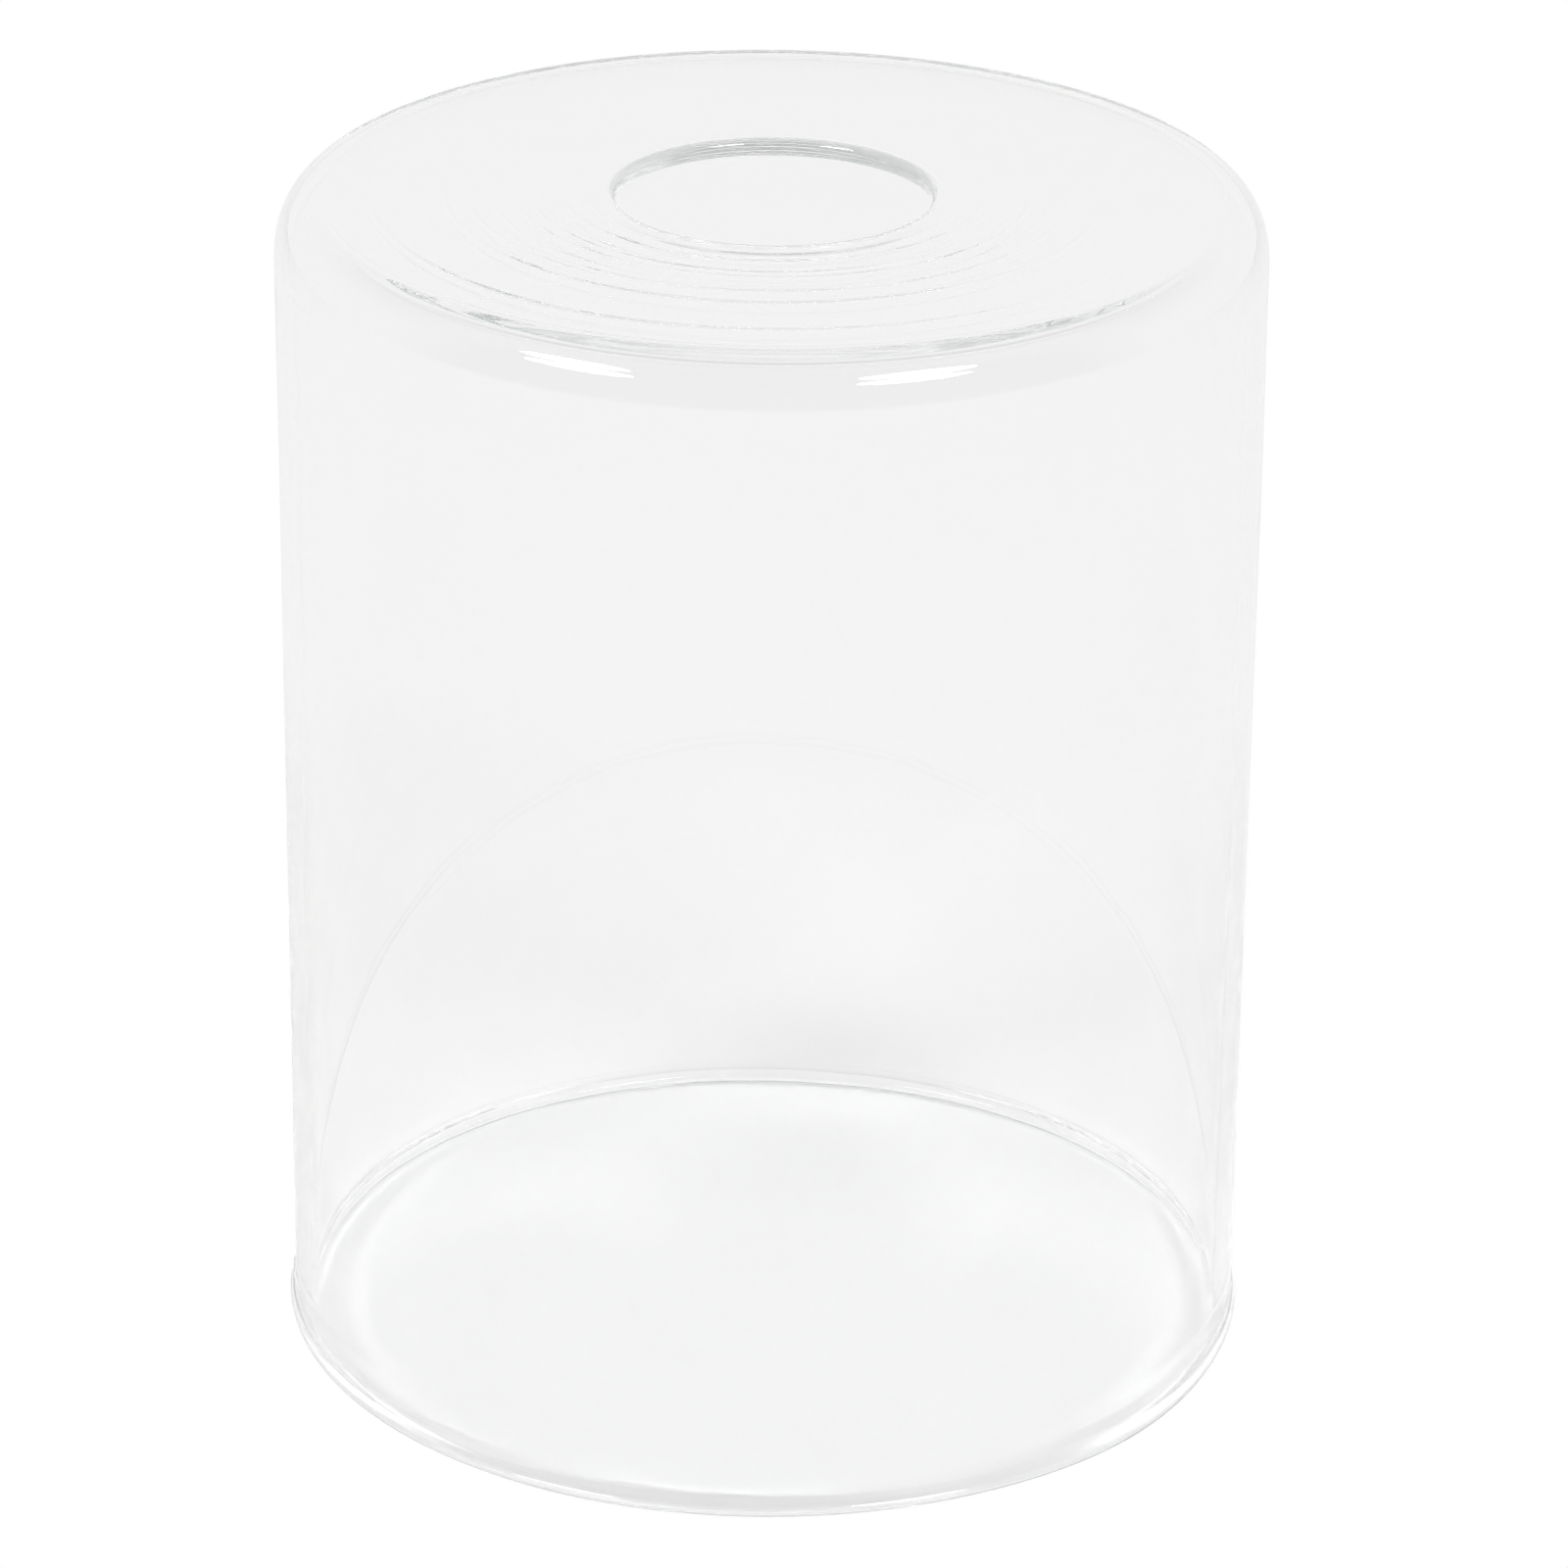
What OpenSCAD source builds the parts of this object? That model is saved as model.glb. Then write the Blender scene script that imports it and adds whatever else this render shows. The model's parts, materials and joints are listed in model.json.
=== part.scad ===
// Glass lamp shade: a straight clear cylinder, open below, with a flat top
// that has a round hole in its middle for the lampholder.
// The shade is one piece of glass. The origin is the centre of the open rim,
// in the plane of its foot, and +Z points up to the closed top. Millimetres.

/* [Body] */
// Outside diameter of the straight wall
body_d = 130; // [100:1:180]
// Overall height, from the foot of the rim to the top
body_h = 161; // [100:1:220]
// Thickness of the side wall
wall_t = 2.3; // [1.6:0.1:3.6]
// Thickness of the flat top
top_t = 2.5; // [1.6:0.1:3.6]
// Outside radius where the wall turns into the top
shoulder_r = 6.5; // [4:0.5:14]

/* [Fitter hole] */
// Diameter of the hole that the lampholder passes through
hole_d = 41.2; // [28:0.1:60]
// Radius of the softened upper edge of the hole
hole_edge_r = 0.7; // [0.3:0.1:1.2]

/* [Rim] */
// Thickness of the fire-polished bead round the open rim
bead_d = 3.2; // [3:0.1:5]
// How far the bead stands out beyond the wall
rim_flare = 0.85; // [0.2:0.05:3]
// Height at which the wall starts to flare out to the bead
rim_flare_h = 3.5; // [3:0.5:20]
// Width of the flat foot under the bead
foot_w = 1.2; // [0.4:0.1:2]

/* [Hidden] */
$fn = 128;
body_r = body_d / 2;
inside_r = body_r - wall_t;
hole_r = hole_d / 2;
inside_shoulder_r = max(shoulder_r - wall_t, 0.4);
// The bead's round section sinks below z = 0 by just enough to leave the flat foot
bead_r = bead_d / 2;
bead_x = body_r + rim_flare - bead_r;
bead_z = sqrt(bead_r * bead_r - foot_w * foot_w / 4);
// Cuts run past the glass by this much
over = 1;

// A round bar bent into a ring about Z, at radius x and height z
module ring(x, z, bar_r) {
    rotate_extrude() translate([x, z]) circle(bar_r);
}

// An upright cylinder whose top edge is rounded
module rounded_cylinder(r, h, edge_r) {
    cylinder(r = r, h = h - edge_r);
    cylinder(r = r - edge_r, h = h);
    ring(r - edge_r, h - edge_r, edge_r);
}

// Solid outline of the shade: the bead, the flare above it, the wall, the shoulder and the top
module outside() {
    ring(bead_x, bead_z, bead_r);
    translate([0, 0, bead_z]) {
        cylinder(r1 = body_r + rim_flare, r2 = body_r, h = rim_flare_h - bead_z);
        rounded_cylinder(body_r, body_h - bead_z, shoulder_r);
    }
}

// The hollow inside, open below, which leaves the whole bead standing
module hollow() {
    difference() {
        translate([0, 0, bead_z])
            cylinder(r1 = bead_x - bead_r, r2 = inside_r, h = rim_flare_h - bead_z);
        ring(bead_x, bead_z, bead_r);
    }
    translate([0, 0, rim_flare_h])
        rounded_cylinder(inside_r, body_h - top_t - rim_flare_h, inside_shoulder_r);
}

// What the fitter hole takes away, with its softened upper edge
module fitter_hole() {
    translate([0, 0, body_h - top_t - over])
        cylinder(r = hole_r, h = top_t + 2 * over);
    difference() {
        translate([0, 0, body_h - hole_edge_r])
            cylinder(r = hole_r + hole_edge_r, h = hole_edge_r + over);
        ring(hole_r + hole_edge_r, body_h - hole_edge_r, hole_edge_r);
    }
}

// The shade is one turned piece of clear glass, cut flat at its foot
module glass_shade() {
    color([0.93, 0.96, 0.95, 0.35])
    difference() {
        outside();
        hollow();
        fitter_hole();
        translate([0, 0, -over]) cylinder(r = body_d, h = over);
    }
}

glass_shade();
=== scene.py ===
"""Looks for the clear glass lamp shade: the glass itself, a white studio floor, soft light and the camera."""
import json
import math

import bpy
from mathutils import Matrix, Vector


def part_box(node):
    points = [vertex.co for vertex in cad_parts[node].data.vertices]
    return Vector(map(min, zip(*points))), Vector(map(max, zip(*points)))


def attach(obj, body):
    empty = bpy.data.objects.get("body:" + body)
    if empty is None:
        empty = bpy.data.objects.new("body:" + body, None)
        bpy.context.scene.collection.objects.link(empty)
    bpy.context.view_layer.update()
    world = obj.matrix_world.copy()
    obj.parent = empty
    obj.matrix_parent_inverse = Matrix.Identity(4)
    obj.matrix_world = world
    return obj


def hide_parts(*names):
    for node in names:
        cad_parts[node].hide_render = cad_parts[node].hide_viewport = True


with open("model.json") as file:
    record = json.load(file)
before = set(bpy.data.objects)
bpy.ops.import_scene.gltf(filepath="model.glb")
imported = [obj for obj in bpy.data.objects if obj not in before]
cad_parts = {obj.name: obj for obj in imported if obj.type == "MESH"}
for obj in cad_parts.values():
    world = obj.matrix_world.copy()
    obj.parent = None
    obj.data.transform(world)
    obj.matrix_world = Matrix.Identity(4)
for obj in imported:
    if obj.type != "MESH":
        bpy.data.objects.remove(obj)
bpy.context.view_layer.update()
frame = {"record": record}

# ---------------------------------------------------------------- the glass, in metres
NODE = "glass_shade"
LOW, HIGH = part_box(NODE)
HEIGHT = HIGH.z - LOW.z
# The widest circle that stays inside the CAD model's many-sided outline
RIM_R = min(HIGH.x, HIGH.y, -LOW.x, -LOW.y)
FITTER = next(m for m in frame["record"]["mounts"] if m["name"] == "fitter_hole")
HOLE_R = FITTER["dims"]["r_mm"] / 1000
WALL_R = 0.065
WALL_T = 0.0023
TOP_T = 0.0025

# Rim: a rounded lip outside, a hollow curve up to the wall, and a rounded heel inside below a slight flare
LIP_R = 0.0015
NECK_R = 0.0080
HEEL_R = 0.0015
INNER_FLARE = 0.0006
INNER_FLARE_H = 0.007

# Shoulder, outside then inside: its reach inwards and downwards, and its squareness (2 is an ellipse)
SHOULDER_IN = 0.0065
SHOULDER_DOWN = 0.0085
SHOULDER_POWER = 2.3
INNER_IN = 0.0041
INNER_DOWN = 0.0065
INNER_POWER = 2.3

# Radii of the hole's rounded edges
HOLE_TOP_R = 0.0012
HOLE_LOW_R = 0.0012

# How finely the half section is cut, part by part, and how many times it is repeated round the axis
LIP_STEPS = 24
NECK_STEPS = 10
WALL_STEPS = 40
SHOULDER_STEPS = 80
TOP_STEPS = 300
HOLE_TOP_STEPS = 14
HOLE_WALL_STEPS = 6
HOLE_LOW_STEPS = 12
UNDER_STEPS = 60
INNER_SHOULDER_STEPS = 36
INNER_FLARE_STEPS = 20
HEEL_STEPS = 16
SEGMENTS = 512

# Spinning rings on the top. Each is a shallow groove that fades out round the shade:
# radius, depth, half width, where it is deepest (degrees from the front towards +X), its reach (degrees)
RINGS = [
    (0.0251, 0.00020, 0.0008, 0, 60),
    (0.0275, 0.00007, 0.0006, 5, 100),
    (0.0316, 0.00009, 0.0006, -22, 75),
    (0.0334, 0.00007, 0.0006, 22, 85),
    (0.0386, 0.00009, 0.0006, 0, 80),
    (0.0429, 0.00010, 0.0006, -12, 100),
    (0.0526, 0.00013, 0.0007, -22, 85),
    (0.0588, 0.00004, 0.0006, -30, 110),
]
# Two fans of fainter, evenly spaced rings, towards the front left and the front right
RINGS += [(0.0243 + 0.0031 * i, 0.00004, 0.0006, -52, 42) for i in range(6)]
RINGS += [(0.0249 + 0.0037 * i, 0.00003, 0.0006, 48, 38) for i in range(4)]
# Only points within this depth of the top carry rings
TOP_SKIN = 0.0005

# Hand-made unevenness: where it is (degrees from the front, height), its reach in both, its outward offset
SWELLS = [
    (-90, 0.150, 45, 0.030, 0.00008),
    (90, 0.150, 45, 0.030, -0.00018),
    (48, 0.000, 26, 0.006, 0.00050),
]
# The unevenness grows from nothing at this radius to its full size this much farther out
CALM_R = 0.045
CALM_FADE = 0.015

# ---------------------------------------------------------------- materials
GLASS_IOR = 1.51
# Waviness of the surface: the noise's scale and detail, and its height in metres
WAVE_SCALE = 60
WAVE_DETAIL = 1.0
WAVE_HEIGHT = 0.00003
# Absorption per metre of glass, and its tint: red loses the most
ABSORPTION = 0.75
ABSORPTION_TINT = (0.0, 0.14, 0.09, 1)

# The floor as the glass sees it, and its place just under the foot, so that the two never touch
FLOOR_ALBEDO = 0.5
FLOOR_GLOW = 0.32
FLOOR_ROUGHNESS = 0.9
FLOOR_R = 4
FLOOR_SIDES = 128
FLOOR_DROP = 0.0002

# ---------------------------------------------------------------- studio
# Strength of the surroundings, by degrees of elevation: backdrop, darker gap, overhead
BACKDROP, BACKDROP_TOP = 0.90, 22
GAP, GAP_LOW, GAP_HIGH = 0.74, 37, 46
OVERHEAD, OVERHEAD_START = 0.86, 60
# The camera's side is darker: the share of that strength it keeps, and where it blends (sine of the angle)
FRONT = 0.5
FRONT_FROM, FRONT_TO = -0.3, 0.1

# Two oval softboxes, with their directions in degrees from the front towards +X and their elevation
LAMP_DISTANCE = 8.0
LAMP_SIZE = (3.375, 1.50)
LAMP_POWER = 250
LAMP_LEFT = -55
LAMP_RIGHT = 40
LAMP_UP = 45

# ---------------------------------------------------------------- camera
# Focal length as a multiple of the picture's width, angles in radians, position in wall radii
LENS_RATIO = 4.3589
SENSOR = 36
PITCH, ROLL, YAW = 0.41714, 0.01070, 0.00260
CAMERA_BACK, CAMERA_UP = 13.0055 * WALL_R, 6.9395 * WALL_R
CAMERA_REACH = 50

# Light that is trapped in clear glass bounces this many times before it is given up
BOUNCES = 256


def ease(t):
    """Smooth step from 0 to 1, flat at both ends."""
    t = min(max(t, 0.0), 1.0)
    return t * t * (3 - 2 * t)


def arc(cx, cz, radius, start, end, count):
    """Points along a circular arc, angles in degrees."""
    points = []
    for i in range(count + 1):
        a = math.radians(start + (end - start) * i / count)
        points.append((cx + radius * math.cos(a), cz + radius * math.sin(a)))
    return points


def shoulder(corner_r, corner_z, width, drop, power, count):
    """Rounded corner from the wall, up and in to the flat top."""
    points = []
    for i in range(count + 1):
        a = math.pi / 2 * i / count
        x = math.cos(a) ** (2 / power) * width
        z = math.sin(a) ** (2 / power) * drop
        points.append((corner_r - width + x, corner_z - drop + z))
    return points


def line(a, b, count):
    """Points from a towards b, without b itself."""
    return [(a[0] + (b[0] - a[0]) * i / count, a[1] + (b[1] - a[1]) * i / count) for i in range(count)]


def outside_profile():
    """From the foot of the rim up the outside to the edge of the flat top."""
    lip_x = RIM_R - LIP_R
    neck_x = WALL_R + NECK_R
    neck_z = LIP_R + math.sqrt((LIP_R + NECK_R) ** 2 - (neck_x - lip_x) ** 2)
    meet = math.degrees(math.atan2(neck_z - LIP_R, neck_x - lip_x))
    points = arc(lip_x, LIP_R, LIP_R, -90, meet, LIP_STEPS)
    points += arc(neck_x, neck_z, NECK_R, 180 + meet, 180, NECK_STEPS)[1:]
    points += line((WALL_R, neck_z), (WALL_R, HEIGHT - SHOULDER_DOWN), WALL_STEPS)[1:]
    points += shoulder(WALL_R, HEIGHT, SHOULDER_IN, SHOULDER_DOWN, SHOULDER_POWER, SHOULDER_STEPS)
    return points


def top_profile(under):
    """Across the flat top, down through the fitter hole and along the underside."""
    points = line((WALL_R - SHOULDER_IN, HEIGHT), (HOLE_R + HOLE_TOP_R, HEIGHT), TOP_STEPS)[1:]
    points += arc(HOLE_R + HOLE_TOP_R, HEIGHT - HOLE_TOP_R, HOLE_TOP_R, 90, 180, HOLE_TOP_STEPS)
    points += line((HOLE_R, HEIGHT - HOLE_TOP_R), (HOLE_R, under + HOLE_LOW_R), HOLE_WALL_STEPS)[1:]
    points += arc(HOLE_R + HOLE_LOW_R, under + HOLE_LOW_R, HOLE_LOW_R, 180, 270, HOLE_LOW_STEPS)
    points += line((HOLE_R + HOLE_LOW_R, under), (WALL_R - WALL_T - INNER_IN, under), UNDER_STEPS)[1:]
    return points


def inside_profile(under):
    """Down the inside of the shoulder and the wall, and out along the flare to the heel of the rim."""
    inner_r = WALL_R - WALL_T
    points = shoulder(inner_r, under, INNER_IN, INNER_DOWN, INNER_POWER, INNER_SHOULDER_STEPS)[::-1]
    points += line((inner_r, under - INNER_DOWN), (inner_r, INNER_FLARE_H), WALL_STEPS)[1:]
    for z, _ in line((INNER_FLARE_H, 0), (HEEL_R, 0), INNER_FLARE_STEPS):
        t = (INNER_FLARE_H - z) / (INNER_FLARE_H - HEEL_R)
        points.append((inner_r + INNER_FLARE * ease(t), z))
    points += arc(inner_r + INNER_FLARE + HEEL_R, HEEL_R, HEEL_R, 180, 270, HEEL_STEPS)
    return points


def profile():
    """Closed half section of the glass."""
    under = HEIGHT - TOP_T
    return outside_profile() + top_profile(under) + inside_profile(under)


def fade(distance, reach):
    """1 at no distance, easing to 0 at the reach."""
    return ease(1 - abs(distance) / reach)


def from_front(segment, segments):
    """Direction of a lathe segment in degrees from the front, towards +X, from -180 to 180."""
    return (360 * segment / segments + 90 + 180) % 360 - 180


def ring_depths(r):
    """The rings that sink the top at radius r, each with its depth there."""
    found = []
    for ring_r, depth, half_width, facing, reach in RINGS:
        t = (r - ring_r) / half_width
        if abs(t) < 1:
            found.append((depth * (1 + math.cos(math.pi * t)) / 2, facing, reach))
    return found


def swell(azimuth, r, z):
    """Outward offset of the glass at a direction, a radius and a height."""
    offset = 0.0
    for facing, height, reach, tall, amount in SWELLS:
        offset += amount * fade(azimuth - facing, reach) * fade(z - height, tall)
    return offset * ease((r - CALM_R) / CALM_FADE)


def lathe(name, points, segments):
    """Turns a closed half section about Z, with the rings and the swells."""
    verts, faces = [], []
    n = len(points)
    grooves = [ring_depths(r) if z > HEIGHT - TOP_SKIN else [] for r, z in points]
    for s in range(segments):
        a = 2 * math.pi * s / segments
        c, d = math.cos(a), math.sin(a)
        azimuth = from_front(s, segments)
        for (r, z), rings in zip(points, grooves):
            for depth, facing, reach in rings:
                z -= depth * fade(azimuth - facing, reach)
            r += swell(azimuth, r, z)
            verts.append((r * c, r * d, z))
    for s in range(segments):
        t = (s + 1) % segments
        for i in range(n):
            j = (i + 1) % n
            faces.append((s * n + i, t * n + i, t * n + j, s * n + j))
    mesh = bpy.data.meshes.new(name)
    mesh.from_pydata(verts, [], faces)
    mesh.polygons.foreach_set("use_smooth", [True] * len(faces))
    mesh.update()
    obj = bpy.data.objects.new(name, mesh)
    bpy.context.scene.collection.objects.link(obj)
    return obj


def glass_material():
    """Clear glass, faintly green in the thick, with a very slight waviness."""
    mat = bpy.data.materials.new("clear_glass")
    mat.use_nodes = True
    nodes, links = mat.node_tree.nodes, mat.node_tree.links
    nodes.clear()
    out = nodes.new("ShaderNodeOutputMaterial")
    glass = nodes.new("ShaderNodeBsdfPrincipled")
    glass.inputs["IOR"].default_value = GLASS_IOR
    glass.inputs["Roughness"].default_value = 0.0
    glass.inputs["Transmission Weight"].default_value = 1.0
    glass.inputs["Base Color"].default_value = (1, 1, 1, 1)
    links.new(glass.outputs["BSDF"], out.inputs["Surface"])
    coord = nodes.new("ShaderNodeTexCoord")
    noise = nodes.new("ShaderNodeTexNoise")
    noise.inputs["Scale"].default_value = WAVE_SCALE
    noise.inputs["Detail"].default_value = WAVE_DETAIL
    links.new(coord.outputs["Object"], noise.inputs["Vector"])
    bump = nodes.new("ShaderNodeBump")
    bump.inputs["Distance"].default_value = WAVE_HEIGHT
    bump.inputs["Strength"].default_value = 1.0
    links.new(noise.outputs["Fac"], bump.inputs["Height"])
    links.new(bump.outputs["Normal"], glass.inputs["Normal"])
    volume = nodes.new("ShaderNodeVolumeAbsorption")
    volume.inputs["Color"].default_value = ABSORPTION_TINT
    volume.inputs["Density"].default_value = ABSORPTION
    links.new(volume.outputs["Volume"], out.inputs["Volume"])
    return mat


def floor_material():
    """White where the camera sees it directly; the glass sees the same floor as light grey."""
    mat = bpy.data.materials.new("white_floor")
    mat.use_nodes = True
    nodes, links = mat.node_tree.nodes, mat.node_tree.links
    grey = nodes["Principled BSDF"]
    grey.inputs["Base Color"].default_value = (FLOOR_ALBEDO, FLOOR_ALBEDO, FLOOR_ALBEDO, 1)
    grey.inputs["Emission Color"].default_value = (1, 1, 1, 1)
    grey.inputs["Emission Strength"].default_value = FLOOR_GLOW
    grey.inputs["Roughness"].default_value = FLOOR_ROUGHNESS
    grey.inputs["Specular IOR Level"].default_value = 0.0
    white = nodes.new("ShaderNodeEmission")
    path = nodes.new("ShaderNodeLightPath")
    mix = nodes.new("ShaderNodeMixShader")
    links.new(path.outputs["Is Camera Ray"], mix.inputs[0])
    links.new(grey.outputs["BSDF"], mix.inputs[1])
    links.new(white.outputs["Emission"], mix.inputs[2])
    links.new(mix.outputs["Shader"], nodes["Material Output"].inputs["Surface"])
    return mat


def build_shade():
    """The one piece of glass, in place of the plain CAD model's."""
    shade = lathe("shade_glass", profile(), SEGMENTS)
    shade.data.materials.append(glass_material())
    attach(shade, "root")
    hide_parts(NODE)


def build_floor():
    """A plain round floor under the shade, not attached to the object."""
    bpy.ops.mesh.primitive_circle_add(
        vertices=FLOOR_SIDES, radius=FLOOR_R, fill_type="NGON", location=(0, 0, -FLOOR_DROP))
    floor = bpy.context.object
    floor.name = "floor"
    floor.data.materials.append(floor_material())


def add_ramp(nodes):
    """Strength of the surroundings over the sine of the elevation."""
    ramp = nodes.new("ShaderNodeValToRGB")
    stops = ramp.color_ramp.elements
    stops[0].position = math.sin(math.radians(BACKDROP_TOP))
    stops[0].color = (BACKDROP, BACKDROP, BACKDROP, 1)
    stops[1].position = math.sin(math.radians(OVERHEAD_START))
    stops[1].color = (OVERHEAD, OVERHEAD, OVERHEAD, 1)
    for elevation in (GAP_LOW, GAP_HIGH):
        stop = stops.new(math.sin(math.radians(elevation)))
        stop.color = (GAP, GAP, GAP, 1)
    return ramp


def build_world():
    """White where the camera sees it directly; the glass sees the studio's own strengths."""
    world = bpy.data.worlds.new("studio")
    bpy.context.scene.world = world
    world.use_nodes = True
    nodes, links = world.node_tree.nodes, world.node_tree.links
    coord = nodes.new("ShaderNodeTexCoord")
    split = nodes.new("ShaderNodeSeparateXYZ")
    links.new(coord.outputs["Generated"], split.inputs["Vector"])
    ramp = add_ramp(nodes)
    links.new(split.outputs["Z"], ramp.inputs["Fac"])
    front = nodes.new("ShaderNodeMapRange")
    front.inputs["From Min"].default_value = FRONT_FROM
    front.inputs["From Max"].default_value = FRONT_TO
    front.inputs["To Min"].default_value = FRONT
    front.inputs["To Max"].default_value = 1.0
    links.new(split.outputs["Y"], front.inputs["Value"])
    studio = nodes.new("ShaderNodeMath")
    studio.operation = "MULTIPLY"
    links.new(ramp.outputs["Color"], studio.inputs[0])
    links.new(front.outputs["Result"], studio.inputs[1])
    path = nodes.new("ShaderNodeLightPath")
    white = nodes.new("ShaderNodeMix")
    links.new(path.outputs["Is Camera Ray"], white.inputs["Factor"])
    links.new(studio.outputs["Value"], white.inputs["A"])
    white.inputs["B"].default_value = 1.0
    background = nodes["Background"]
    background.inputs["Color"].default_value = (1, 1, 1, 1)
    links.new(white.outputs["Result"], background.inputs["Strength"])


def softbox(name, azimuth):
    """An oval area light aimed at the shade's top, azimuth in degrees from the front towards +X."""
    data = bpy.data.lights.new(name, "AREA")
    data.shape = "ELLIPSE"
    data.size, data.size_y = LAMP_SIZE
    data.energy = LAMP_POWER
    a, e = math.radians(azimuth), math.radians(LAMP_UP)
    offset = Vector((math.sin(a) * math.cos(e), -math.cos(a) * math.cos(e), math.sin(e))) * LAMP_DISTANCE
    lamp = bpy.data.objects.new(name, data)
    lamp.location = Vector((0, 0, HEIGHT)) + offset
    lamp.rotation_euler = offset.to_track_quat("Z", "Y").to_euler()
    bpy.context.scene.collection.objects.link(lamp)


def build_camera():
    """The camera fitted to the photo: in front of the shade and above it, looking down."""
    data = bpy.data.cameras.new("camera")
    data.sensor_width = SENSOR
    data.lens = LENS_RATIO * SENSOR
    data.clip_end = CAMERA_REACH
    camera = bpy.data.objects.new("camera", data)
    bpy.context.scene.collection.objects.link(camera)
    forward = Vector((math.sin(YAW) * math.cos(PITCH), math.cos(YAW) * math.cos(PITCH), -math.sin(PITCH)))
    right = Vector((math.cos(YAW), -math.sin(YAW), 0))
    up = right.cross(forward)
    right_rolled = math.cos(ROLL) * right + math.sin(ROLL) * up
    up_rolled = -math.sin(ROLL) * right + math.cos(ROLL) * up
    turn = Matrix((right_rolled, up_rolled, -forward)).transposed().to_4x4()
    camera.matrix_world = Matrix.Translation((0, -CAMERA_BACK, CAMERA_UP)) @ turn
    bpy.context.scene.camera = camera


def set_light_paths():
    """Plain colours, many bounces through the glass, and no blur or clamp on the light it passes on."""
    scene = bpy.context.scene
    scene.view_settings.view_transform = "Standard"
    scene.cycles.max_bounces = BOUNCES
    scene.cycles.transmission_bounces = BOUNCES
    scene.cycles.glossy_bounces = BOUNCES
    scene.cycles.blur_glossy = 0.0
    scene.cycles.sample_clamp_indirect = 0.0


build_shade()
build_floor()
build_world()
softbox("softbox_left", LAMP_LEFT)
softbox("softbox_right", LAMP_RIGHT)
build_camera()
set_light_paths()
